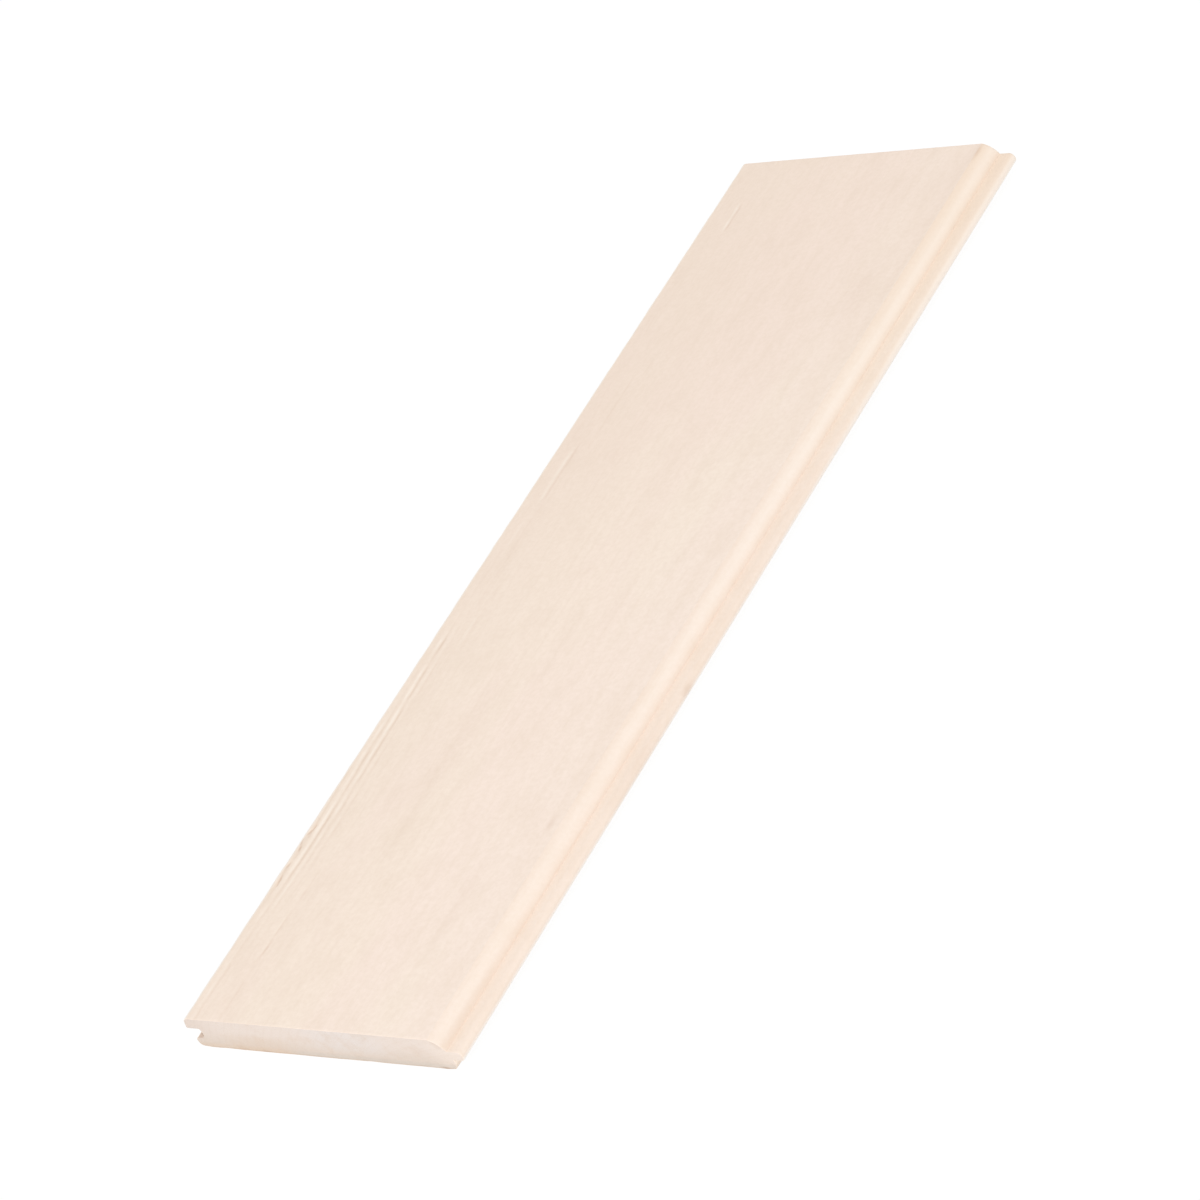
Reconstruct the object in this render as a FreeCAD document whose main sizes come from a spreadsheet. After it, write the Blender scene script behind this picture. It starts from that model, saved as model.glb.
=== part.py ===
import FreeCAD, Part
import os
import Sketcher

# One short length of tongue and groove lining board, lying on its back.
# X runs across the board from the groove edge to the tongue, Y along the grain, Z up to the face.
# The origin is under the middle of the board, on the plane that its back rests on.

SIZES = [
    ("board_length", 390.0),         # cut length, both ends square
    ("cover_width", 115.5),          # groove edge to tongue shoulder, what one board covers when laid
    ("face_lip", 5.0),               # wood between the face and the groove
    ("back_lip", 4.6),               # wood between the groove and the back
    ("tongue_thickness", 4.1),
    ("tongue_reach", 5.5),           # shoulder to tongue tip
    ("side_clearance", 0.15),        # between tongue and groove, above and below
    ("tip_clearance", 0.5),          # between the tongue tip and the groove floor
    ("soft_edge_width", 4.8),        # face to shoulder, across the soft edge
    ("soft_edge_radius", 7.6),       # wide round from the face down to the tongue
    ("face_edge_radius", 3.0),       # round between the face and the slanted groove edge
    ("lip_slant", 2.3),              # how far the groove edge leans out over the face lip
    ("lip_corner_radius", 0.6),      # lower corner of the face lip
    ("lip_nose_radius", 1.8),        # both corners of the back lip
    ("tongue_nose_radius", 1.9),     # both corners of the tongue
    ("shoulder_radius", 2.0),        # back corner under the tongue
    ("widest_round", 0.48),          # a round takes at most this share of the wall that it sits on
]

doc = FreeCAD.newDocument("tongue_and_groove_board")
sheet = doc.addObject("Spreadsheet::Sheet", "sizes")
for row, (alias, value) in enumerate(SIZES, start=1):
    sheet.set(f"A{row}", alias)
    sheet.set(f"B{row}", str(value))
    sheet.setAlias(f"B{row}", alias)
doc.recompute()

# Places across the board and up from its back, all from the sizes above
GROOVE_HEIGHT = "(sizes.tongue_thickness + 2 * sizes.side_clearance)"
THICKNESS = f"(sizes.face_lip + {GROOVE_HEIGHT} + sizes.back_lip)"
GROOVE_EDGE = "(-0.5 * (sizes.cover_width + sizes.tongue_reach))"
SHOULDER = f"({GROOVE_EDGE} + sizes.cover_width)"
TONGUE_TIP = f"({SHOULDER} + sizes.tongue_reach)"
GROOVE_FLOOR = f"({GROOVE_EDGE} + sizes.tongue_reach + sizes.tip_clearance)"
GROOVE_BOTTOM = "(sizes.back_lip)"
GROOVE_TOP = f"({GROOVE_BOTTOM} + {GROOVE_HEIGHT})"
TONGUE_BOTTOM = f"({GROOVE_BOTTOM} + sizes.side_clearance)"
TONGUE_TOP = f"({TONGUE_BOTTOM} + sizes.tongue_thickness)"
SLANT_TOP = f"({GROOVE_EDGE} + sizes.lip_slant)"

# The soft edge is one arc from the face down to the tongue, which starts in a faint crisp line.
# Its centre stands off the middle of the chord, down and away from the tongue.
SOFT_START = f"({SHOULDER} - sizes.soft_edge_width)"
SOFT_DROP = f"({THICKNESS} - {TONGUE_TOP})"
SOFT_CHORD = f"sqrt(sizes.soft_edge_width ^ 2 + {SOFT_DROP} ^ 2)"
SOFT_FLATTEST = f"({SOFT_CHORD} ^ 2 / (2 * {SOFT_DROP}))"
SOFT_RADIUS = f"max(sizes.soft_edge_radius; {SOFT_FLATTEST})"
SOFT_OFFSET = f"sqrt({SOFT_RADIUS} ^ 2 - {SOFT_CHORD} ^ 2 / 4)"
SOFT_CENTRE = (
    f"({SOFT_START} + 0.5 * sizes.soft_edge_width - {SOFT_OFFSET} * {SOFT_DROP} / {SOFT_CHORD})",
    f"({THICKNESS} - 0.5 * {SOFT_DROP} - {SOFT_OFFSET} * sizes.soft_edge_width / {SOFT_CHORD})",
)

board = doc.addObject("PartDesign::Body", "board")
board.Label = "board"


def number(expression):
    """Value in millimetres of an expression on the sheet."""
    return float(sheet.evalExpression(expression))


def section_sketch(name):
    """Empty sketch on the plane across the board: sketch x is X, sketch y is Z."""
    sketch = board.newObject("Sketcher::SketchObject", name)
    plane = next(item for item in board.Origin.OriginFeatures if item.Role == "XZ_Plane")
    sketch.AttachmentSupport = [(plane, "")]
    sketch.MapMode = "FlatFace"
    return sketch


def pin(sketch, curve, point, place):
    """Hold one point of a curve at a place given by two expressions."""
    for kind, expression in zip(("DistanceX", "DistanceY"), place):
        index = sketch.addConstraint(
            Sketcher.Constraint(kind, curve, point, number(expression)))
        sketch.setExpression(f"Constraints[{index}]", expression)


def draw_outline(sketch, corners):
    """Closed outline of straight lines through corners, each corner pinned once."""
    places = [FreeCAD.Vector(number(across), number(up), 0) for across, up in corners]
    count = len(corners)
    for index in range(count):
        line = Part.LineSegment(places[index], places[(index + 1) % count])
        sketch.addGeometry(line, False)
    for index in range(count):
        sketch.addConstraint(
            Sketcher.Constraint("Coincident", index, 2, (index + 1) % count, 1))
    for index, corner in enumerate(corners):
        pin(sketch, index, 1, corner)


def along_the_grain(kind, name, sketch):
    """Pad or pocket that runs the sketch over the whole length, half each way."""
    feature = board.newObject(f"PartDesign::{kind}", name)
    feature.Profile = sketch
    feature.SideType = "Symmetric"
    feature.setExpression("Length", "sizes.board_length")
    doc.recompute()
    return feature


def round_edges(name, radius, wall, corners):
    """Fillet on the lengthwise edges that stand at the given corners of the section."""
    base = board.Tip
    names = []
    for across, up in corners:
        for index, edge in enumerate(base.Shape.Edges, start=1):
            ends = [vertex.Point for vertex in edge.Vertexes]
            off = [abs(end.x - number(across)) + abs(end.z - number(up)) for end in ends]
            if max(off) < 1e-4:
                names.append(f"Edge{index}")
    fillet = board.newObject("PartDesign::Fillet", name)
    fillet.Base = (base, names)
    fillet.setExpression("Radius", f"min(sizes.{radius}; sizes.widest_round * {wall})")
    doc.recompute()
    return fillet


# The planed blank, from the groove edge to the shoulder
blank = section_sketch("blank_section")
draw_outline(blank, [
    (GROOVE_EDGE, "0"),
    (SHOULDER, "0"),
    (SHOULDER, THICKNESS),
    (GROOVE_EDGE, THICKNESS),
])
along_the_grain("Pad", "blank_pad", blank)

# The tongue, standing out from the shoulder
tongue = section_sketch("tongue_section")
draw_outline(tongue, [
    (SHOULDER, TONGUE_BOTTOM),
    (TONGUE_TIP, TONGUE_BOTTOM),
    (TONGUE_TIP, TONGUE_TOP),
    (SHOULDER, TONGUE_TOP),
])
along_the_grain("Pad", "tongue_pad", tongue)

# The groove that takes the tongue of the next board
groove = section_sketch("groove_section")
draw_outline(groove, [
    (GROOVE_EDGE, GROOVE_BOTTOM),
    (GROOVE_FLOOR, GROOVE_BOTTOM),
    (GROOVE_FLOOR, GROOVE_TOP),
    (GROOVE_EDGE, GROOVE_TOP),
])
solid_volume = board.Shape.Volume
along_the_grain("Pocket", "groove_pocket", groove)
groove_section_area = number(f"{GROOVE_HEIGHT} * (sizes.tongue_reach + sizes.tip_clearance)")
cut_volume = solid_volume - board.Shape.Volume
if abs(cut_volume - groove_section_area * number("sizes.board_length")) > 1.0:
    raise RuntimeError("the groove was not cut")

# The groove edge leans outwards from the face to the face lip's lower corner
slant = section_sketch("slant_section")
draw_outline(slant, [
    (GROOVE_EDGE, GROOVE_TOP),
    (SLANT_TOP, THICKNESS),
    (GROOVE_EDGE, THICKNESS),
])
solid_volume = board.Shape.Volume
along_the_grain("Pocket", "slant_pocket", slant)
if board.Shape.Volume > solid_volume - 1.0:
    raise RuntimeError("the groove edge was not slanted")

# The soft edge on the tongue side: one arc and the corner that it takes off
soft = section_sketch("soft_section")
soft_centre = FreeCAD.Vector(number(SOFT_CENTRE[0]), number(SOFT_CENTRE[1]), 0)
soft_corner = FreeCAD.Vector(number(SHOULDER), number(THICKNESS), 0)
soft_start = FreeCAD.Vector(number(SOFT_START), number(THICKNESS), 0)
soft_end = FreeCAD.Vector(number(SHOULDER), number(TONGUE_TOP), 0)
radial = Part.Circle(soft_centre, FreeCAD.Vector(0, 0, 1), number(SOFT_RADIUS))
soft.addGeometry(Part.ArcOfCircle(radial, radial.parameter(soft_end), radial.parameter(soft_start)), False)
soft.addGeometry(Part.LineSegment(soft_start, soft_corner), False)
soft.addGeometry(Part.LineSegment(soft_corner, soft_end), False)
soft.addConstraint(Sketcher.Constraint("Coincident", 0, 2, 1, 1))
soft.addConstraint(Sketcher.Constraint("Coincident", 1, 2, 2, 1))
soft.addConstraint(Sketcher.Constraint("Coincident", 2, 2, 0, 1))
pin(soft, 0, 3, SOFT_CENTRE)
pin(soft, 1, 1, (SOFT_START, THICKNESS))
pin(soft, 1, 2, (SHOULDER, THICKNESS))
soft.addConstraint(Sketcher.Constraint("Vertical", 2))
solid_volume = board.Shape.Volume
along_the_grain("Pocket", "soft_pocket", soft)
if board.Shape.Volume > solid_volume - 1.0:
    raise RuntimeError("the soft edge was not cut")

# The small rounds that a moulder's cutters leave
round_edges("face_edge_round", "face_edge_radius", "sizes.face_lip * 2",
            [(SLANT_TOP, THICKNESS)])
round_edges("lip_corner_round", "lip_corner_radius", "sizes.face_lip",
            [(GROOVE_EDGE, GROOVE_TOP)])
round_edges("lip_nose_round", "lip_nose_radius", "sizes.back_lip",
            [(GROOVE_EDGE, GROOVE_BOTTOM), (GROOVE_EDGE, "0")])
round_edges("tongue_nose_round", "tongue_nose_radius", "sizes.tongue_thickness",
            [(TONGUE_TIP, TONGUE_TOP), (TONGUE_TIP, TONGUE_BOTTOM)])
round_edges("shoulder_round", "shoulder_radius", TONGUE_BOTTOM, [(SHOULDER, "0")])

board.Placement = FreeCAD.Placement()
doc.recompute()

for item in doc.Objects:
    if "Invalid" in item.State or "Error" in item.State:
        raise RuntimeError(f"{item.Name} did not build: {item.State}")

pieces = [board]
os.makedirs("parts", exist_ok=True)
for piece in pieces:
    shape = piece.Shape
    if shape.isNull() or not shape.isValid() or len(shape.Solids) != 1:
        raise RuntimeError(f"{piece.Label} is not one valid solid")
    shape.exportStep(os.path.join("parts", f"{piece.Label}.step"))
    box = shape.BoundBox
    print(f"{piece.Label}: {box.XLength:.2f} x {box.YLength:.2f} x {box.ZLength:.2f} mm, "
          f"{shape.Volume / 1000:.1f} cubic centimetres")
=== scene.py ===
from math import cos, e, pi, radians, sin, sqrt, tan

import bpy
import numpy as np
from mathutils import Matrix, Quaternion, Vector, geometry


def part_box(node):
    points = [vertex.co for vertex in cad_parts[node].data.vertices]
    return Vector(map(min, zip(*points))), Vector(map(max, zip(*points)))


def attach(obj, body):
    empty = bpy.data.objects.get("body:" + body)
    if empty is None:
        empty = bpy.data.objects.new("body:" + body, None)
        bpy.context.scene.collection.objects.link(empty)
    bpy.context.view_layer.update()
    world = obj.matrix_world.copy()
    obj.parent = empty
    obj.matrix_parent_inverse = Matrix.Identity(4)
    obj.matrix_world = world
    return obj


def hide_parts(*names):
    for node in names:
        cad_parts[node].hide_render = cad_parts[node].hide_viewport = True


# One short length of tongue and groove lining board, planed from pale limewood, lying on its back.
# x runs across it from the groove edge to the tongue, y along the grain, z up to the face.

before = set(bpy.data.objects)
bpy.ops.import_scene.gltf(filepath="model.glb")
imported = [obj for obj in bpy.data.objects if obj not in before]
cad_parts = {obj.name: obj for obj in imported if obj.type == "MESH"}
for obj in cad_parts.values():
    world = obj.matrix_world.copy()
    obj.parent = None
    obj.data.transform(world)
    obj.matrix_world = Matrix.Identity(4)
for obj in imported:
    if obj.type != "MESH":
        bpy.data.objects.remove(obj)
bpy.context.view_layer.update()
boardLow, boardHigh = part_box("board")
print("frame loaded, the board is", [round(side * 1000, 1) for side in boardHigh - boardLow], "mm")

mm = 0.001
grooveEdge = boardLow.x / mm
tongueTip = boardHigh.x / mm
nearEnd = boardLow.y / mm
boardLength = (boardHigh.y - boardLow.y) / mm
thickness = boardHigh.z / mm

# The moulded section in millimetres: heights are up from the back
section = {
    "softWidth": 4.8,         # face to shoulder, across the soft edge
    "softRadius": 7.6,        # wide round from the face down to the tongue
    "tongueReach": 5.5,
    "tongueBottom": 4.75,
    "tongueTop": 8.85,
    "tongueNose": 1.9,
    "shoulderRound": 2.0,     # back corner under the tongue
    "grooveDepth": 6.0,
    "grooveBottom": 4.6,
    "grooveTop": 9.0,
    "grooveCorner": 2.4,      # lower inner corner of the groove, clear of the tongue's round nose
    "lipSlant": 2.3,          # the groove edge leans out this far below the face
    "faceRound": 3.0,
    "lipCorner": 0.6,
    "lipNose": 1.8,
}

# How close the mesh points stand, in millimetres
meshSpacing = {
    "grainSide": 0.3,         # first part of the face, where the open grain is
    "grainSideWidth": 19.0,
    "middle": 1.3,
    "nearSoftEdge": 0.5,
    "nearSoftEdgeWidth": 5.0,
    "round": 0.32,
    "tongue": 0.5,
    "hidden": 1.0,
    "back": 3.6,
    "along": 1.7,
    "torn": 0.7,              # between tornStart and tornEnd
    "tornStart": 50.0,
    "tornEnd": 90.0,
    "endGrid": 0.65,
}

# Sideways drift of the grain: (millimetres from the near end, drift towards the tongue)
grainDrift = [(0, 0.2), (27, 0.4), (41, 0.8), (56, 1.25), (72, 1.4), (88, 1.2), (105, 0.45),
              (125, -0.45), (147, -1.3), (170, -1.9), (200, -2.6), (390, -4.6)]

# Open grain: shallow troughs where growth rings come out of the face, inward from the groove edge,
# with how strong they are at places along the board. Their colour is painted light and shade, the wall
# that faces the light pale and the other dark; darkness adds a dark middle of painted shade. The last
# one is a scratch.
grainLines = [
    {"inward": 2.8, "halfWidth": 1.0, "strength": [(40, 0), (50, 0.4), (90, 0.5), (98, 0)]},
    {"inward": 3.0, "halfWidth": 1.0, "strength": [(88, 0), (96, 0.6), (120, 0.5), (134, 0)]},
    {"inward": 5.0, "halfWidth": 1.0, "strength": [(120, 0), (130, 0.3), (165, 0.3), (180, 0)]},
    {"inward": 6.9, "halfWidth": 1.1, "strength": [(0, 0.45), (30, 0.45), (48, 0.35), (58, 0.95),
                                                   (84, 0.9), (92, 0.75), (116, 0.7), (140, 0.4),
                                                   (172, 0)]},
    {"inward": 10.1, "halfWidth": 1.1, "strength": [(26, 0), (40, 0.35), (52, 0.35), (60, 0.5),
                                                    (84, 0.55), (96, 0.75), (114, 0.75),
                                                    (135, 0.85), (160, 0.9), (172, 0)]},
    {"inward": 13.2, "halfWidth": 1.2, "strength": [(20, 0), (35, 0.25), (84, 0.4), (114, 0.3),
                                                    (160, 0.3), (180, 0.1), (210, 0.3), (218, 0)]},
    {"inward": 18.2, "halfWidth": 0.9, "darkness": 0.9,
     "strength": [(0, 0.3), (22, 0.3), (30, 0.6), (50, 0.6), (62, 0.15), (118, 0.2), (128, 0)]},
    {"inward": 19.4, "halfWidth": 1.0, "strength": [(156, 0), (164, 0.3), (184, 0.25), (192, 0)]},
    {"inward": 14.9, "halfWidth": 1.2, "strength": [(170, 0), (178, 0.4), (204, 0.35), (214, 0.3),
                                                    (228, 0.55), (246, 0.6), (256, 0)]},
    {"inward": 20.6, "halfWidth": 0.9, "darkness": 0.9,
     "strength": [(244, 0), (254, 0.25), (280, 0.2), (290, 0)]},
    {"inward": 19.0, "halfWidth": 0.9, "strength": [(353, 0), (357, 0.9), (365, 0.8), (370, 0)]},
]
grainLineDepth = 0.26

# Places where the cutter tore fibres out of the groove edge: (along, inward) points of each tear
tornPlaces = [
    {"points": [(53, 5.6), (58, 5.1), (60, 4.3), (62, 4.4), (66, 5.4)],
     "depth": 0.28, "halfWidth": 0.6},
    {"points": [(67, 5.6), (70, 5.1), (72, 4.4), (74, 3.7), (76, 4.2), (79, 5.3), (82, 5.8)],
     "depth": 0.34, "halfWidth": 0.6},
    {"points": [(46, 5.0), (58, 5.6), (72, 5.7), (86, 5.2)], "depth": 0.12, "halfWidth": 0.4},
]

# Brown flecks in the wood; the two long faint ones at inward 109 and 111.2 are painted shade along the
# line where the face meets the soft edge: (inward, along, half width, half length, strength)
woodFlecks = [
    (45, 102, 3.6, 36, 0.07),
    (89, 52, 2.2, 16, 0.06),
    (96, 320, 5.0, 14, 0.07),
    (107, 85, 1.4, 3.0, 0.16),
    (109, 345, 2.4, 70, 0.06),
    (110.9, 386, 0.7, 3.4, 0.28),
    (111.2, 190, 1.0, 110, 0.03),
    (114.9, 8, 0.7, 34, 0.09),
    (120.2, 195, 0.6, 400, 0.06),
    (120.3, 115, 1.0, 22, 0.12),
    (120.9, 147, 0.7, 3.2, 0.22),
]

# Burr and scorched fibres that the saw left along the back of the near end:
# (across, half width, strength)
sawBurrs = [(-41, 2.4, 0.6), (-30, 1.8, 0.8), (-8, 16, 0.3), (16, 9, 0.25), (39.5, 1.6, 0.6),
            (49.3, 2.2, 0.95)]


def smoothStep(value, low, high):
    share = np.clip((value - low) / (high - low), 0.0, 1.0)
    return share * share * (3.0 - 2.0 * share)


def patchNoise(first, second, firstSize, secondSize, seed):
    # soft random patches from -1 to 1, each about firstSize by secondSize
    columns = first / firstSize + 1000.5
    rows = second / secondSize + 1000.5
    column = np.floor(columns).astype(int)
    row = np.floor(rows).astype(int)
    columnShare = smoothStep(columns - column, 0.0, 1.0)
    rowShare = smoothStep(rows - row, 0.0, 1.0)
    values = np.random.default_rng(seed).uniform(-1.0, 1.0, 4096)

    def corner(columnStep, rowStep):
        return values[((column + columnStep) * 739 + (row + rowStep) * 1237) % 4096]

    nearSide = corner(0, 0) * (1 - columnShare) + corner(1, 0) * columnShare
    farSide = corner(0, 1) * (1 - columnShare) + corner(1, 1) * columnShare
    return nearSide * (1 - rowShare) + farSide * rowShare


def lineNoise(place, size, seed):
    return patchNoise(place, place * 0, size, 1.0, seed)


def driftAt(along):
    # smooth line through the points of grainDrift
    places, drifts = np.array(grainDrift, float).T
    slopes = np.gradient(drifts, places)
    index = np.clip(np.searchsorted(places, along) - 1, 0, len(places) - 2)
    gap = places[index + 1] - places[index]
    share = np.clip((along - places[index]) / gap, 0.0, 1.0)
    start = (1 + 2 * share) * (1 - share) ** 2 * drifts[index]
    end = share ** 2 * (3 - 2 * share) * drifts[index + 1]
    leaving = share * (1 - share) ** 2 * gap * slopes[index]
    arriving = share ** 2 * (share - 1) * gap * slopes[index + 1]
    return start + end + leaving + arriving


def arcPoints(centre, start, end, radius, steps):
    # points of an arc from start to end, both included
    firstArm = start - centre
    lastArm = end - centre
    return [centre + firstArm.slerp(lastArm, step / steps).normalized() * radius
            for step in range(steps + 1)]


def cornerArc(before, corner, after, radius):
    # points of the arc that takes a corner off, tangent to the runs on both sides of it
    if radius == 0:
        return [corner]
    back = (before - corner).normalized()
    onward = (after - corner).normalized()
    halfAngle = back.angle(onward) / 2
    reach = radius / tan(halfAngle)
    centre = corner + (back + onward).normalized() * (radius / sin(halfAngle))
    steps = max(4, round(radius * (pi - 2 * halfAngle) / meshSpacing["round"]))
    return arcPoints(centre, corner + back * reach, corner + onward * reach, radius, steps)


def softEdgeArc():
    # one arc from the face to the shoulder: its centre stands down and away from the tongue
    shoulder = tongueTip - section["tongueReach"]
    start = Vector((shoulder - section["softWidth"], thickness))
    end = Vector((shoulder, section["tongueTop"]))
    chord = end - start
    radius = section["softRadius"]
    sideways = Vector((chord.y, -chord.x)).normalized()
    centre = (start + end) / 2 + sideways * sqrt(radius ** 2 - (chord.length / 2) ** 2)
    return arcPoints(centre, start, end, radius, round(chord.length / meshSpacing["round"]))


def sectionCorners():
    # (across, up, radius of the corner, surface on the run after it, spacing on that run)
    shoulder = tongueTip - section["tongueReach"]
    grooveFloor = grooveEdge + section["grooveDepth"]
    softEdge = softEdgeArc()
    corners = [
        (grooveEdge + section["lipSlant"], thickness, section["faceRound"],
         "face", meshSpacing["grainSide"]),
        (grooveEdge + meshSpacing["grainSideWidth"], thickness, 0,
         "face", meshSpacing["middle"]),
        (softEdge[0].x - meshSpacing["nearSoftEdgeWidth"], thickness, 0,
         "face", meshSpacing["nearSoftEdge"]),
    ]
    corners += [(point.x, point.y, 0, "edge", section["softRadius"]) for point in softEdge[:-1]]
    corners += [
        (shoulder, section["tongueTop"], 0, "edge", meshSpacing["tongue"]),
        (tongueTip, section["tongueTop"], section["tongueNose"], "edge", meshSpacing["round"]),
        (tongueTip, section["tongueBottom"], section["tongueNose"],
         "routed", meshSpacing["hidden"]),
        (shoulder, section["tongueBottom"], 0, "routed", meshSpacing["round"]),
        (shoulder, 0, section["shoulderRound"], "back", meshSpacing["back"]),
        (grooveEdge, 0, section["lipNose"], "edge", meshSpacing["hidden"]),
        (grooveEdge, section["grooveBottom"], section["lipNose"],
         "routed", meshSpacing["hidden"]),
        (grooveFloor, section["grooveBottom"], section["grooveCorner"],
         "routed", meshSpacing["hidden"]),
        (grooveFloor, section["grooveTop"], 0, "routed", meshSpacing["hidden"]),
        (grooveEdge, section["grooveTop"], section["lipCorner"], "edge", meshSpacing["round"]),
    ]
    return corners


def sectionOutline():
    # points around the section, clockwise seen from the near end, and the surface after each
    corners = sectionCorners()
    places = [Vector(corner[:2]) for corner in corners]
    count = len(corners)
    arcs = []
    for index in range(count):
        after = places[(index + 1) % count]
        arcs.append(cornerArc(places[index - 1], places[index], after, corners[index][2]))
    points = []
    surfaces = []
    for index in range(count):
        surface, spacing = corners[index][3:]
        onArc = surface if corners[index - 1][3] == surface else "edge"
        points += arcs[index]
        surfaces += [onArc] * (len(arcs[index]) - 1) + [surface]
        run = arcs[(index + 1) % count][0] - arcs[index][-1]
        steps = max(1, round(run.length / spacing))
        for step in range(1, steps):
            points.append(arcs[index][-1] + run * (step / steps))
            surfaces.append(surface)
    return np.array([tuple(point) for point in points]), surfaces


def inwardNormals(points):
    # unit vectors that point into the wood, one for each point of the outline
    tangents = np.roll(points, -1, axis=0) - np.roll(points, 1, axis=0)
    tangents /= np.linalg.norm(tangents, axis=1)[:, None]
    return np.stack([tangents[:, 1], -tangents[:, 0]], axis=1)


def alongPlaces():
    # millimetres from the near end, closer together towards both ends and at the torn places
    first = 1.0
    places = [first]
    while places[-1] < boardLength - first:
        fromEnd = min(places[-1], boardLength - places[-1])
        step = min(meshSpacing["along"], 0.3 + 0.25 * fromEnd)
        if meshSpacing["tornStart"] < places[-1] < meshSpacing["tornEnd"]:
            step = meshSpacing["torn"]
        places.append(places[-1] + max(step, 0.5))
    stretch = (boardLength - 2 * first) / (places[-1] - first)
    return first + (np.array(places) - first) * stretch


def surfaceRelief(across, up, along, onFace):
    # how far the surface lies below the planed section, and the marks that the wood shows there
    inward = across - grooveEdge
    drift = driftAt(along)
    depth = 0.01 * (1 + patchNoise(across + 3 * up, along, 6, 40, 11))
    grainLine = np.zeros_like(depth)
    for number, line in enumerate(grainLines):
        places, shares = np.array(line["strength"], float).T
        strength = np.interp(along, places, shares) * onFace
        strength = strength * (0.8 + 0.5 * lineNoise(along, 4.5, 40 + number))
        wander = 0.22 * lineNoise(along, 13, 60 + number) + 0.12 * lineNoise(along, 3.1, 70 + number)
        offset = (inward - line["inward"] - drift - wander) / line["halfWidth"]
        trough = np.exp(-offset ** 2)
        depth += grainLineDepth * strength * trough
        # painted light and shade: the trough wall that faces the light is painted pale, the other wall
        # dark
        grainLine -= strength * (sqrt(2 * e) * offset + line.get("darkness", 0)) * trough
    fine = patchNoise(inward - drift, along, 0.8, 7, 21)
    grainSide = (1 - smoothStep(inward, 8, 24)) * onFace
    depth += 0.022 * (1 + fine) * grainSide
    grainLine += 0.16 * fine * grainSide
    # the outermost fibres stand a little uneven
    outermost = (1 - smoothStep(inward, 3.2, 4.4)) * (up > section["grooveTop"] + 1)
    depth += 0.08 * (1 + patchNoise(along, up, 4.5, 3, 23)) * outermost
    # painted light: a painted highlight on the crown of the soft edge, and paler paint where shade
    # falls on the lower half of the tongue's nose, at the far end higher up the nose
    farness = smoothStep(along, 190, 330)
    crown = np.exp(-((across - tongueTip + 7.2 - 0.5 * farness) / 1.4) ** 2)
    crown = crown * (up > section["tongueTop"]) * (0.13 + 0.17 * smoothStep(along, 20, 280))
    nose = 0.45 * (1 - smoothStep(up, 6.0 + 1.4 * farness, 6.9 + 2.0 * farness))
    nose = nose + 0.35 * (1 - smoothStep(up, 5.6, 6.9))
    nose = nose * smoothStep(across, tongueTip - 2.4, tongueTip - 1.6)
    # the round of the groove edge, where shade falls, is painted paler as well
    rubbed = crown + nose + 0.7 * outermost
    # handling has worn the back corner under the tongue, most at the near end, and the back lip
    shoulder = tongueTip - section["tongueReach"]
    worn = smoothStep(across, shoulder - 2.6, shoulder - 1.0) * (1 - smoothStep(up, 1.4, 3.4))
    depth += (0.36 + 0.55 * (1 - smoothStep(along, 0.5, 5))) * worn
    lip = (1 - smoothStep(inward, 1.0, 4.0)) * (up < section["grooveBottom"] + 1)
    depth += 0.4 * lip

    torn = np.zeros_like(depth)
    for number, tear in enumerate(tornPlaces):
        places, lines = np.array(tear["points"], float).T
        offset = (inward - np.interp(along, places, lines)) / tear["halfWidth"]
        ragged = np.clip(0.75 + 0.6 * patchNoise(across, along, 0.6, 1.7, 80 + number), 0, 1)
        ends = smoothStep(along, places[0], places[0] + 3)
        ends = ends * (1 - smoothStep(along, places[-1] - 3, places[-1]))
        bite = ends * ragged * np.exp(-offset ** 2) * (up > section["grooveTop"] + 1)
        depth += tear["depth"] * bite
        torn = np.maximum(torn, bite * tear["depth"] / 0.35)

    # painted shade in the corner where the soft edge meets the tongue
    fleck = 0.05 * np.exp(-np.hypot(across - shoulder, up - section["tongueTop"]) / 0.4)
    for inwardPlace, alongPlace, halfWidth, halfLength, strength in woodFlecks:
        spot = ((inward - inwardPlace) / halfWidth) ** 2 + ((along - alongPlace) / halfLength) ** 2
        fleck = np.maximum(fleck, strength * np.exp(-spot) * (up > section["tongueBottom"] + 1))

    burr = np.full_like(depth, 0.12)
    for place, halfWidth, strength in sawBurrs:
        burr = np.maximum(burr, strength * np.exp(-((across - place) / halfWidth) ** 2))
    burr = burr * (0.75 + 0.25 * lineNoise(across, 1.3, 91))
    burr = burr * (1 - smoothStep(up, 0.2, 1.5)) * (1 - smoothStep(along, 0.2, 1.5))
    marks = {"grainDrift": drift, "grainLine": grainLine, "rubbed": rubbed, "tornFibre": torn,
             "fleck": fleck, "sawBurr": burr}
    return depth, marks


def arrisSize(points, onBack, seed):
    # a saw leaves a small soft arris all round an end, with splinters broken off along the back
    size = 0.17 + 0.05 * lineNoise(points[:, 0] + 2 * points[:, 1], 1.5, seed)
    return size + onBack * 0.35 * np.clip(lineNoise(points[:, 0], 5.0, seed + 1), 0, 1)


def endGridPoints(ring):
    # a fine grid of points inside the ring, clear of its edge
    spacing = meshSpacing["endGrid"]
    grid = np.array([(across, up)
                     for across in np.arange(grooveEdge, tongueTip, spacing)
                     for up in np.arange(spacing / 2, thickness, spacing)])
    inside = np.zeros(len(grid), bool)
    clearance = np.full(len(grid), boardLength)
    for start, end in zip(ring, np.roll(ring, -1, axis=0)):
        run = end - start
        share = np.clip(((grid - start) @ run) / (run @ run), 0, 1)
        gap = np.linalg.norm(grid - start - share[:, None] * run, axis=1)
        clearance = np.minimum(clearance, gap)
        if start[1] != end[1]:
            crosses = (start[1] > grid[:, 1]) != (end[1] > grid[:, 1])
            place = start[0] + (grid[:, 1] - start[1]) * run[0] / run[1]
            inside ^= crosses & (grid[:, 0] < place)
    return grid[inside & (clearance > 0.4 * spacing)]


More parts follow.
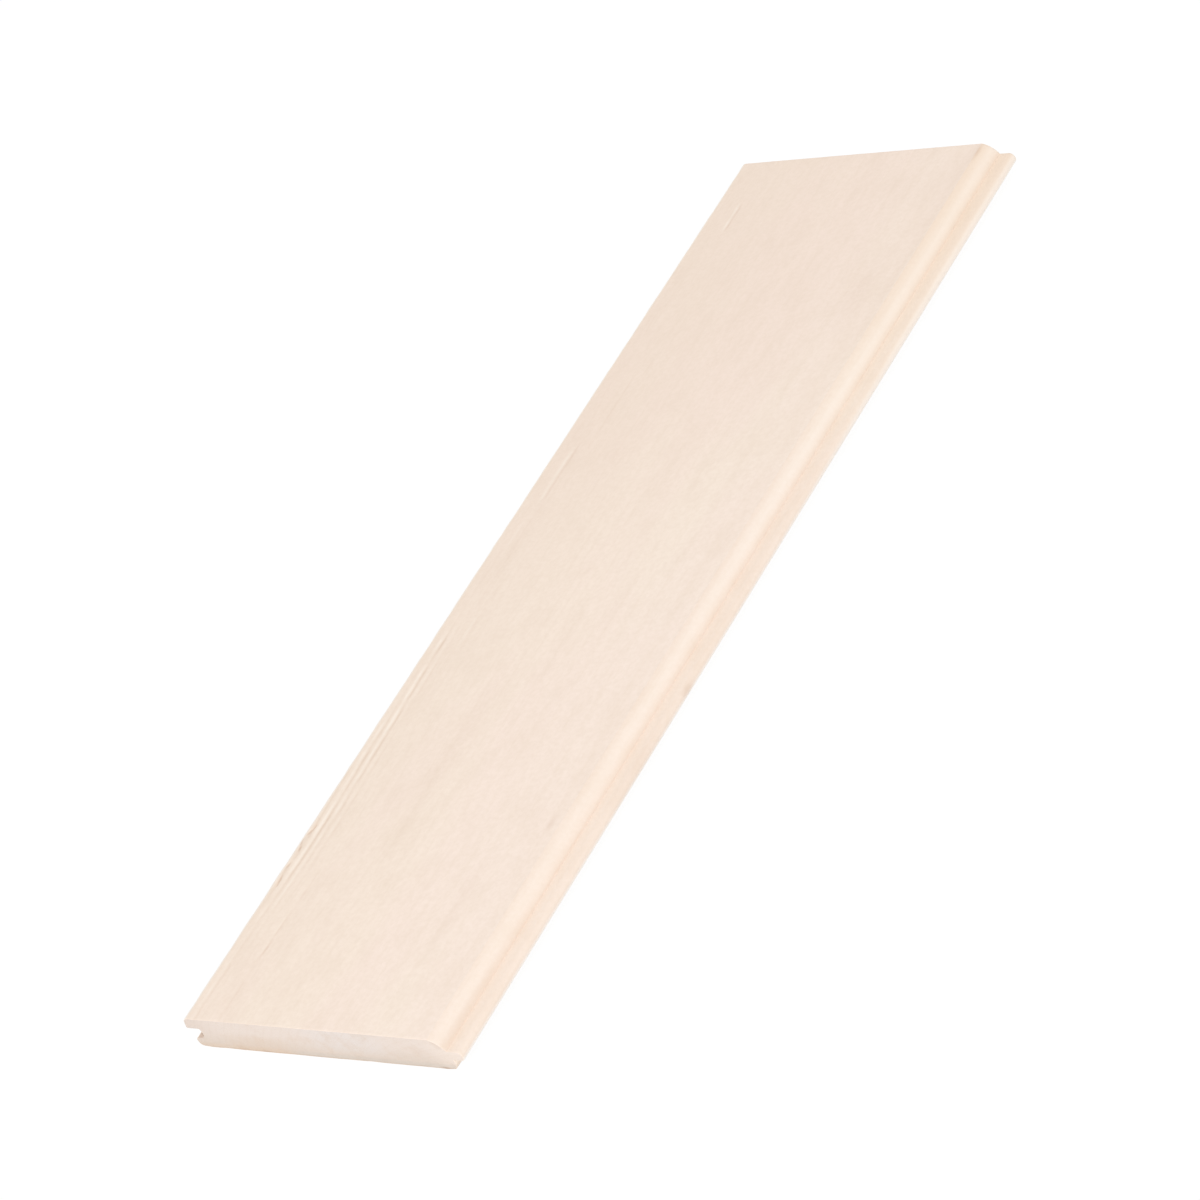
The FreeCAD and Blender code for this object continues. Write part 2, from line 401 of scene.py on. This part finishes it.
def endTriangles(ring, grid):
    # triangles that fill the ring, by numbers that count the ring's points and then the grid's
    places = [Vector(point) for point in np.concatenate([ring, grid])]
    loop = list(range(len(ring)))[::-1]
    result = geometry.delaunay_2d_cdt(places, [], [loop], 1, 1e-7)
    sources = [origin[0] for origin in result[3]]
    return [[sources[corner] for corner in triangle] for triangle in result[2]]


def sharpenLine(mesh, column, count, rowCount):
    # the line where the face meets the soft edge stays crisp
    ends = np.zeros(len(mesh.edges) * 2, int)
    mesh.edges.foreach_get("vertices", ends)
    ends = ends.reshape(-1, 2)
    onLine = ((ends % count == column) & (ends < rowCount * count)).all(axis=1)
    sharp = mesh.attributes["sharp_edge"].data
    values = np.zeros(len(mesh.edges), bool)
    sharp.foreach_get("value", values)
    sharp.foreach_set("value", values | onLine)


def makeBoard():
    points, surfaces = sectionOutline()
    normals = inwardNormals(points)
    isFace = np.array([surface == "face" for surface in surfaces])
    isFace = isFace | np.roll(isFace, 1)
    onBack = np.array([surface == "back" for surface in surfaces])
    nearArris = arrisSize(points, onBack, 31)
    farArris = arrisSize(points, onBack, 33)
    arrisAngles = [radians(angle) for angle in (0, 30, 60, 90)]
    middle = alongPlaces()
    count = len(points)

    # each column is one point of the outline, each row one place along the board
    alongRows = [nearArris * (1 - cos(angle)) for angle in arrisAngles]
    insetRows = [nearArris * (1 - sin(angle)) for angle in arrisAngles]
    alongRows += [np.full(count, place) for place in middle]
    insetRows += [np.zeros(count) for place in middle]
    alongRows += [boardLength - farArris * (1 - cos(angle)) for angle in arrisAngles[::-1]]
    insetRows += [farArris * (1 - sin(angle)) for angle in arrisAngles[::-1]]
    along = np.array(alongRows)
    across = np.broadcast_to(points[:, 0], along.shape)
    up = np.broadcast_to(points[:, 1], along.shape)
    depth, marks = surfaceRelief(across, up, along, np.broadcast_to(isFace, along.shape))
    depth = depth + np.array(insetRows)
    sides = np.stack([across + normals[:, 0] * depth, along, up + normals[:, 1] * depth], axis=-1)
    rowCount = len(along)
    vertices = [sides.reshape(-1, 3)]
    values = {name: [mark.ravel()] for name, mark in marks.items()}

    faces = []
    surfaceOf = []
    for row in range(rowCount - 1):
        for column in range(count):
            following = (column + 1) % count
            faces.append((row * count + column, row * count + following,
                          (row + 1) * count + following, (row + 1) * count + column))
            surfaceOf.append(surfaces[column])

    total = rowCount * count
    for row, place, inwardSign in ((0, 0.0, 1), (rowCount - 1, boardLength, -1)):
        ring = sides[row][:, [0, 2]]
        grid = endGridPoints(ring)
        sawMarks = 0.02 * (1 + patchNoise(grid[:, 0] + 0.35 * grid[:, 1], grid[:, 1], 1.1, 9, 51))
        vertices.append(np.stack([grid[:, 0], place + inwardSign * sawMarks, grid[:, 1]], axis=-1))
        gridAlong = np.full(len(grid), place)
        gridMarks = surfaceRelief(grid[:, 0], grid[:, 1], gridAlong, np.zeros(len(grid)))[1]
        for name in ("rubbed", "tornFibre", "fleck"):
            gridMarks[name] = gridMarks[name] * 0
        for name, mark in gridMarks.items():
            values[name].append(mark)
        for triangle in endTriangles(ring, grid):
            numbers = [row * count + corner if corner < count else total + corner - count
                       for corner in triangle]
            faces.append(numbers[::inwardSign])
            surfaceOf.append("end")
        total += len(grid)

    coordinates = np.concatenate(vertices)
    coordinates[:, 1] += nearEnd
    mesh = bpy.data.meshes.new("limeBoard")
    mesh.from_pydata((coordinates * mm).tolist(), [], faces)
    order = ["face", "edge", "routed", "back", "end"]
    mesh.polygons.foreach_set("material_index", [order.index(surface) for surface in surfaceOf])
    for name, parts in values.items():
        attribute = mesh.attributes.new(name, "FLOAT", "POINT")
        attribute.data.foreach_set("value", np.concatenate(parts).astype(np.float32))
    mesh.shade_smooth()
    mesh.set_sharp_from_angle(angle=radians(38))
    softStart = softEdgeArc()[0]
    sharpenLine(mesh, int(np.argmin(np.hypot(*(points - tuple(softStart)).T))), count, rowCount)
    mesh.validate()
    board = bpy.data.objects.new("limeBoard", mesh)
    bpy.context.scene.collection.objects.link(board)
    triangles = sum(len(polygon.vertices) - 2 for polygon in mesh.polygons)
    print("board made,", triangles, "triangles,", count, "points around,", rowCount, "rows")
    return board


def hexColour(code):
    # sRGB hex to the linear colour that a shader takes
    channels = [int(code[place:place + 2], 16) / 255 for place in (1, 3, 5)]
    return (*[value / 12.92 if value <= 0.04045 else ((value + 0.055) / 1.055) ** 2.4
              for value in channels], 1.0)


def addNode(tree, kind, settings=None, links=None):
    # adds a node, sets its properties, and sets or links its inputs
    node = tree.nodes.new(kind)
    for name, value in (settings or {}).items():
        setattr(node, name, value)
    for name, value in (links or {}).items():
        if isinstance(value, bpy.types.NodeSocket):
            tree.links.new(value, node.inputs[name])
        else:
            node.inputs[name].default_value = value
    return node


def newMaterial(name):
    material = bpy.data.materials.new(name)
    material.use_nodes = True
    material.node_tree.nodes.clear()
    return material, material.node_tree


# Wood figure of plain sawn lime, in millimetres
limeFigure = {
    "pithAcross": 60.0,       # the heart of the log lies below the tongue edge
    "pithUp": -60.0,
    "ringWidth": 2.85,        # one year of growth
    "ringWander": 1.1,
    "fibreWidth": 0.9,        # bundles of fibres and vessels; single ones are too fine to show
    "fibreLength": 9.0,
    "mottleWidth": 1.5,       # short wood rays and pores, about as long as they are wide
    "mottleLength": 1.5,
    "streakWidth": 5.0,       # faint bands along the grain
    "streakLength": 150.0,
    "blotchWidth": 9.0,
    "blotchLength": 14.0,
    "cloudWidth": 38.0,
    "cloudLength": 120.0,
}


def stretchedNoise(tree, place, width, length, detail):
    # noise in cells of width across the grain and length along it, from 0 to 1
    scaled = addNode(tree, "ShaderNodeVectorMath", {"operation": "MULTIPLY"},
                     {0: place, 1: (1 / width, 1 / length, 1 / width)})
    return addNode(tree, "ShaderNodeTexNoise", {"noise_dimensions": "3D"},
                   {"Vector": scaled.outputs[0], "Scale": 1.0, "Detail": detail,
                    "Roughness": 0.55}).outputs["Fac"]


def layColours(tree, colour, layers):
    # lays colours over one another: each layer has its full share, its colour, and any number of
    # (value, start, end) over which it fades in
    for share, code, *ranges in layers:
        for value, start, end in ranges:
            share = addNode(tree, "ShaderNodeMapRange", {"interpolation_type": "SMOOTHSTEP"},
                            {"Value": value, "From Min": start, "From Max": end,
                             "To Min": 0.0, "To Max": share}).outputs[0]
        colour = addNode(tree, "ShaderNodeMix", {"data_type": "RGBA"},
                         {0: share, 6: colour, 7: hexColour(code)}).outputs[2]
    return colour


def limeSockets(tree):
    # the figure of the wood that all its surfaces share, so that it runs on round the edges
    figure = limeFigure
    coordinates = addNode(tree, "ShaderNodeTexCoord").outputs["Object"]
    place = addNode(tree, "ShaderNodeVectorMath", {"operation": "SCALE"},
                    {0: coordinates, "Scale": 1 / mm}).outputs[0]
    drift = addNode(tree, "ShaderNodeAttribute", {"attribute_name": "grainDrift"}).outputs["Fac"]
    shift = addNode(tree, "ShaderNodeCombineXYZ", None, {0: drift}).outputs[0]
    straight = addNode(tree, "ShaderNodeVectorMath", {"operation": "SUBTRACT"},
                       {0: place, 1: shift}).outputs[0]
    fromPith = addNode(tree, "ShaderNodeVectorMath", {"operation": "SUBTRACT"},
                       {0: straight, 1: (figure["pithAcross"], 0, figure["pithUp"])}).outputs[0]
    flat = addNode(tree, "ShaderNodeVectorMath", {"operation": "MULTIPLY"},
                   {0: fromPith, 1: (1, 0, 1)}).outputs[0]
    radius = addNode(tree, "ShaderNodeVectorMath", {"operation": "LENGTH"}, {0: flat}).outputs["Value"]
    wander = stretchedNoise(tree, straight, 14, 90, 2)
    wandered = addNode(tree, "ShaderNodeMath", {"operation": "MULTIPLY_ADD"},
                       {0: wander, 1: 2 * figure["ringWander"], 2: radius}).outputs[0]
    years = addNode(tree, "ShaderNodeMath", {"operation": "DIVIDE"},
                    {0: wandered, 1: figure["ringWidth"]}).outputs[0]
    sockets = {
        "place": place,
        "season": addNode(tree, "ShaderNodeMath", {"operation": "FRACT"}, {0: years}).outputs[0],
        "fibre": stretchedNoise(tree, straight, figure["fibreWidth"], figure["fibreLength"], 2),
        "mottle": stretchedNoise(tree, place, figure["mottleWidth"], figure["mottleLength"], 4),
        "streak": stretchedNoise(tree, straight, figure["streakWidth"], figure["streakLength"], 1),
        "blotch": stretchedNoise(tree, place, figure["blotchWidth"], figure["blotchLength"], 2),
        "cloud": stretchedNoise(tree, place, figure["cloudWidth"], figure["cloudLength"], 2),
    }
    for name in ("grainLine", "rubbed", "tornFibre", "fleck", "sawBurr"):
        sockets[name] = addNode(tree, "ShaderNodeAttribute", {"attribute_name": name}).outputs["Fac"]
    split = addNode(tree, "ShaderNodeSeparateXYZ", None, {0: place})
    sockets["across"], sockets["along"], sockets["up"] = split.outputs[:]
    return sockets


def limeColour(tree, wood, look):
    # slow clouds of colour first, then painted shade and light for how the light falls: darker and
    # warmer towards the groove side, darker towards the far end, sooner on the groove side, and paler
    # on the tongue side; then the finer marks, then painted light on the edges, flecks and damage
    slanted = addNode(tree, "ShaderNodeMath", {"operation": "MULTIPLY_ADD"},
                      {0: wood["across"], 1: -1.2, 2: wood["along"]}).outputs[0]
    layers = [
        (1.0, look["pink"], (wood["cloud"], 0.36, 0.64)),
        (look["warmShare"], look["warm"], (wood["across"], 10, -62)),
        (look["farShare"], look["far"], (slanted, -40, 140)),
        (look["lightShare"], look["pale"], (wood["across"], -5, 45)),
        (look["ringShare"], look["ring"], (wood["season"], 0.55, 0.9), (wood["season"], 1.0, 0.9)),
        (look["streakShare"], look["fibre"], (wood["streak"], 0.36, 0.64)),
        (look["blotchShare"], look["fibre"], (wood["blotch"], 0.42, 0.70)),
        (look["fibreShare"], look["fibre"], (wood["fibre"], 0.48, 0.76)),
        (look["mottleShare"], look["fibre"], (wood["mottle"], 0.75, 0.25)),
        # painted light and shade on the grain troughs: pale on the lit wall, the pores colour on the
        # shaded wall
        (0.5, look["pale"], (wood["grainLine"], 0.0, 1.0)),
        (0.3, look["pores"], (wood["grainLine"], 0.0, -1.0)),
        # painted light: highlight on the soft edge, paler paint on the shaded tongue nose and groove
        # edge
        (wood["rubbed"], look["pale"]),
        # flecks, with painted shade in the tongue's corner and beside the start of the soft edge
        (wood["fleck"], look["fleck"]),
        (0.36, look["fleck"], (wood["tornFibre"], 0.05, 0.8)),
        (0.6, look["fleck"], (wood["sawBurr"], 0.0, 1.0)),
    ]
    return layColours(tree, hexColour(look["cream"]), layers)


def finishWood(tree, colour, grain, ripple, roughness, relief):
    # cut fibres scatter the light: almost no gloss, and a little less where the grain stands up
    rough = addNode(tree, "ShaderNodeMapRange", None,
                    {"Value": grain, "From Min": 0.3, "From Max": 0.7,
                     "To Min": roughness[0], "To Max": roughness[1]}).outputs[0]
    height = addNode(tree, "ShaderNodeMath", {"operation": "ADD"}, {0: grain, 1: ripple}).outputs[0]
    bump = addNode(tree, "ShaderNodeBump", None,
                   {"Strength": 1.0, "Distance": relief * mm, "Height": height}).outputs[0]
    shader = addNode(tree, "ShaderNodeBsdfPrincipled", None,
                     {"Base Color": colour, "Roughness": rough, "IOR": 1.5, "Normal": bump})
    addNode(tree, "ShaderNodeOutputMaterial", None, {"Surface": shader.outputs[0]})


def planedFace():
    # planed lime: creamy white with a blush of pink, close and even, hardly any ring lines
    material, tree = newMaterial("planedLimeFace")
    wood = limeSockets(tree)
    look = {"cream": "#FBEBDC", "pink": "#FBE9DC", "warm": "#F4E3D3", "warmShare": 0.5,
            "far": "#F2DDCE", "farShare": 0.32, "ring": "#EFDCC8", "ringShare": 0.12,
            "lightShare": 0.1, "streakShare": 0.06, "fibre": "#E9D5C2", "blotchShare": 0.16,
            "fibreShare": 0.1, "mottleShare": 0.3,
            "pale": "#FFF6EB", "pores": "#D6B69A", "fleck": "#B98E6C"}
    finishWood(tree, limeColour(tree, wood, look), wood["fibre"], wood["mottle"], (0.55, 0.68), 0.02)
    return material


def mouldedEdge():
    # the same lime run through moulding cutters: a touch warmer, where light bounces in the corners
    material, tree = newMaterial("mouldedLimeEdge")
    wood = limeSockets(tree)
    look = {"cream": "#F7E7D8", "pink": "#F7E6D8", "warm": "#F4E3D3", "warmShare": 0.5,
            "far": "#F4DEC8", "farShare": 0.6, "ring": "#ECD6C0", "ringShare": 0.1,
            "lightShare": 0.02, "streakShare": 0.06, "fibre": "#EBD5BF", "blotchShare": 0.16,
            "fibreShare": 0.12, "mottleShare": 0.25,
            "pale": "#FFF8F0", "pores": "#D3B294", "fleck": "#B5875F"}
    finishWood(tree, limeColour(tree, wood, look), wood["fibre"], wood["mottle"], (0.5, 0.62), 0.02)
    return material


def planedBack():
    # the back gets one quick pass of the planer: duller and a little rougher than the face
    material, tree = newMaterial("planedLimeBack")
    wood = limeSockets(tree)
    look = {"cream": "#F1DFCC", "pink": "#EFDCCB", "warm": "#ECD9C4", "warmShare": 0.5,
            "far": "#ECD7C4", "farShare": 0.5, "ring": "#E2CCB0", "ringShare": 0.3,
            "lightShare": 0.1, "streakShare": 0.2, "fibre": "#DCC4A6", "blotchShare": 0.3,
            "fibreShare": 0.35, "mottleShare": 0.3,
            "pale": "#F7EADA", "pores": "#CBAA8A", "fleck": "#B5875F"}
    finishWood(tree, limeColour(tree, wood, look), wood["fibre"], wood["mottle"], (0.6, 0.75), 0.04)
    return material


def routedWall():
    # walls cut by the groove and tongue cutters: clean pale wood, with painted shade in the mouth of
    # the groove at the near end, less of it close to the groove's floor, and painted light under the
    # tongue there
    material, tree = newMaterial("routedLimeWall")
    wood = limeSockets(tree)
    look = {"cream": "#FAEBDC", "pink": "#FAEADC", "warm": "#F6E5D3", "warmShare": 0.4,
            "far": "#F8E6D6", "farShare": 0.4, "ring": "#EFDAC4", "ringShare": 0.2,
            "lightShare": 0.1, "streakShare": 0.1, "fibre": "#EAD4BC", "blotchShare": 0.2,
            "fibreShare": 0.25, "mottleShare": 0.2,
            "pale": "#FFF6EA", "pores": "#D3B294", "fleck": "#B5875F"}
    mouth = (wood["along"], nearEnd + 5.0, nearEnd + 1.5)
    colour = layColours(tree, limeColour(tree, wood, look), [
        # painted shade in the groove's mouth and painted light under the tongue, both near the near
        # end
        (0.7, "#C8B2A4", mouth, (wood["across"], grooveEdge + 6.0, grooveEdge + 4.2)),
        (0.7, "#F8ECE2", mouth, (wood["across"], tongueTip - 6.0, tongueTip - 4.2)),
    ])
    finishWood(tree, colour, wood["fibre"], wood["mottle"], (0.5, 0.62), 0.03)
    return material


def sawnEndGrain():
    # sawn end grain: open fibre ends swallow light, so it is greyer than the face, with soft
    # blotches, the faintest rings, and brown fibres where the saw came out at the back
    material, tree = newMaterial("sawnLimeEndGrain")
    wood = limeSockets(tree)
    pores = addNode(tree, "ShaderNodeTexNoise", {"noise_dimensions": "3D"},
                    {"Vector": wood["place"], "Scale": 1 / 0.6, "Detail": 2.0}).outputs["Fac"]
    stains = addNode(tree, "ShaderNodeTexNoise", {"noise_dimensions": "3D"},
                     {"Vector": wood["place"], "Scale": 1 / 6.0, "Detail": 3.0}).outputs["Fac"]
    saw = stretchedNoise(tree, wood["place"], 0.7, 60, 2)
    shading = addNode(tree, "ShaderNodeMath", {"operation": "MULTIPLY_ADD"},
                      {0: stains, 1: 5.0, 2: wood["up"]}).outputs[0]
    across = wood["across"]
    up = wood["up"]
    colour = layColours(tree, hexColour("#EADCD2"), [
        (1.0, "#DFD0C3", (shading, 13.0, 3.5)),
        (0.75, "#F4E5D9", (across, 42, 58)),                              # paler tongue side
        (0.3, "#E4E1E1", (across, -14, 6), (across, 36, 18), (up, 1.5, 6.5)),
        (0.3, "#D8C2AE", (stains, 0.50, 0.72)),
        (0.05, "#CDB398", (wood["season"], 0.55, 0.9), (wood["season"], 1.0, 0.9)),
        (0.22, "#D2BAA2", (pores, 0.5, 0.75)),
        (0.32, "#D8C5B8", (across, -42, -58), (up, 6.0, 9.5)),            # dull face lip
        (0.3, "#C6C2BC", (across, -25, -10), (up, 3.2, 1.2)),             # greyed along the back
        (0.18, "#D9B998", (across, -12, -24), (up, 3.0, 1.4)),            # browned beside it
        (0.12, "#D9B998", (across, -12, -24), (across, -46, -36), (up, 9.0, 6.0)),
        (0.3, "#C9A988", (up, 1.0, 0.2)),
        (0.85, "#A67B5C", (wood["sawBurr"], 0.0, 1.0)),
    ])
    finishWood(tree, colour, pores, saw, (0.75, 0.88), 0.05)
    return material


# Studio: a white floor and sky, one soft key light from the right, camera as in the photograph
studio = {
    "floorSize": 8.0,
    "floorWhite": "#F2F2F2",
    "floorGlow": 1.02,        # how bright the camera sees the floor's own white
    # painted light: the floor glows a little, though it is no lamp, and lights the board from below
    "paintedFloorGlow": 0.12,      # light that the floor gives the board besides what it reflects
    "shadowShare": 0.07,      # how much of the floor's own shading the camera sees
    "skyLight": 0.685,
    "keyDirection": (0.57, -0.70, 1.0),
    "keyDistance": 4.6,
    "keySize": 2.55,
    "keyPower": 88.0,
    "cameraPlace": (1.0577, -0.77955, 0.83393),
    "cameraTarget": (0.00734, -0.01606, 0.014),
    "cameraRoll": -36.4,
    "lens": 142.71,
}


def whiteForCamera(tree, shading, share):
    # the camera, mirrors and glass see plain white instead of that share of the shading
    path = addNode(tree, "ShaderNodeLightPath")
    seen = addNode(tree, "ShaderNodeMath", {"operation": "MAXIMUM"},
                   {0: path.outputs["Is Camera Ray"], 1: path.outputs["Is Glossy Ray"]}).outputs[0]
    seen = addNode(tree, "ShaderNodeMath", {"operation": "MAXIMUM"},
                   {0: seen, 1: path.outputs["Is Transmission Ray"]}).outputs[0]
    share = addNode(tree, "ShaderNodeMath", {"operation": "MULTIPLY"}, {0: seen, 1: share}).outputs[0]
    white = addNode(tree, "ShaderNodeEmission", None,
                    {"Color": (1, 1, 1, 1), "Strength": studio["floorGlow"]})
    return addNode(tree, "ShaderNodeMixShader", None,
                   {0: share, 1: shading, 2: white.outputs[0]}).outputs[0]


def makeStudio():
    half = studio["floorSize"] / 2
    under = -0.2 * mm         # a hair below the back, so that the two never lie in one plane
    mesh = bpy.data.meshes.new("studioFloor")
    mesh.from_pydata([(-half, -half, under), (half, -half, under), (half, half, under),
                      (-half, half, under)], [], [(0, 1, 2, 3)])
    floor = bpy.data.objects.new("studioFloor", mesh)
    bpy.context.scene.collection.objects.link(floor)
    material, tree = newMaterial("whiteStudioFloor")
    diffuse = addNode(tree, "ShaderNodeBsdfDiffuse", None, {"Color": hexColour(studio["floorWhite"])})
    # painted light: the floor glows and lights the board besides what it reflects
    floorGlowEmission = addNode(tree, "ShaderNodeEmission", None,
                     {"Color": (1, 1, 1, 1), "Strength": studio["paintedFloorGlow"]})
    lit = addNode(tree, "ShaderNodeAddShader", None, {0: diffuse.outputs[0], 1: floorGlowEmission.outputs[0]})
    surface = whiteForCamera(tree, lit.outputs[0], 1 - studio["shadowShare"])
    addNode(tree, "ShaderNodeOutputMaterial", None, {"Surface": surface})
    mesh.materials.append(material)

    world = bpy.data.worlds.new("studioSky")
    world.use_nodes = True
    tree = world.node_tree
    tree.nodes.clear()
    sky = addNode(tree, "ShaderNodeBackground", None,
                  {"Color": (1, 1, 1, 1), "Strength": studio["skyLight"]})
    surface = whiteForCamera(tree, sky.outputs[0], 1.0)
    addNode(tree, "ShaderNodeOutputWorld", None, {"Surface": surface})
    bpy.context.scene.world = world

    light = bpy.data.lights.new("softKey", "AREA")
    light.shape = "DISK"
    light.size = studio["keySize"]
    light.energy = studio["keyPower"]
    key = bpy.data.objects.new("softKey", light)
    direction = Vector(studio["keyDirection"]).normalized()
    key.location = direction * studio["keyDistance"]
    key.rotation_euler = direction.to_track_quat("Z", "Y").to_euler()
    bpy.context.scene.collection.objects.link(key)


def makeCamera():
    data = bpy.data.cameras.new("photoCamera")
    data.lens = studio["lens"]
    data.sensor_width = 36.0
    data.clip_end = 50.0
    camera = bpy.data.objects.new("photoCamera", data)
    place = Vector(studio["cameraPlace"])
    looking = (Vector(studio["cameraTarget"]) - place).to_track_quat("-Z", "Y")
    roll = Quaternion((0, 0, 1), radians(studio["cameraRoll"]))
    camera.location = place
    camera.rotation_euler = (looking @ roll).to_euler()
    bpy.context.scene.collection.objects.link(camera)
    bpy.context.scene.camera = camera


bpy.context.scene.view_settings.view_transform = "Standard"
makeCamera()
makeStudio()
print("camera, floor and lights made")

board = makeBoard()
for makeMaterial in (planedFace, mouldedEdge, routedWall, planedBack, sawnEndGrain):
    board.data.materials.append(makeMaterial())
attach(board, "root")
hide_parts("board")
print("lime materials made")
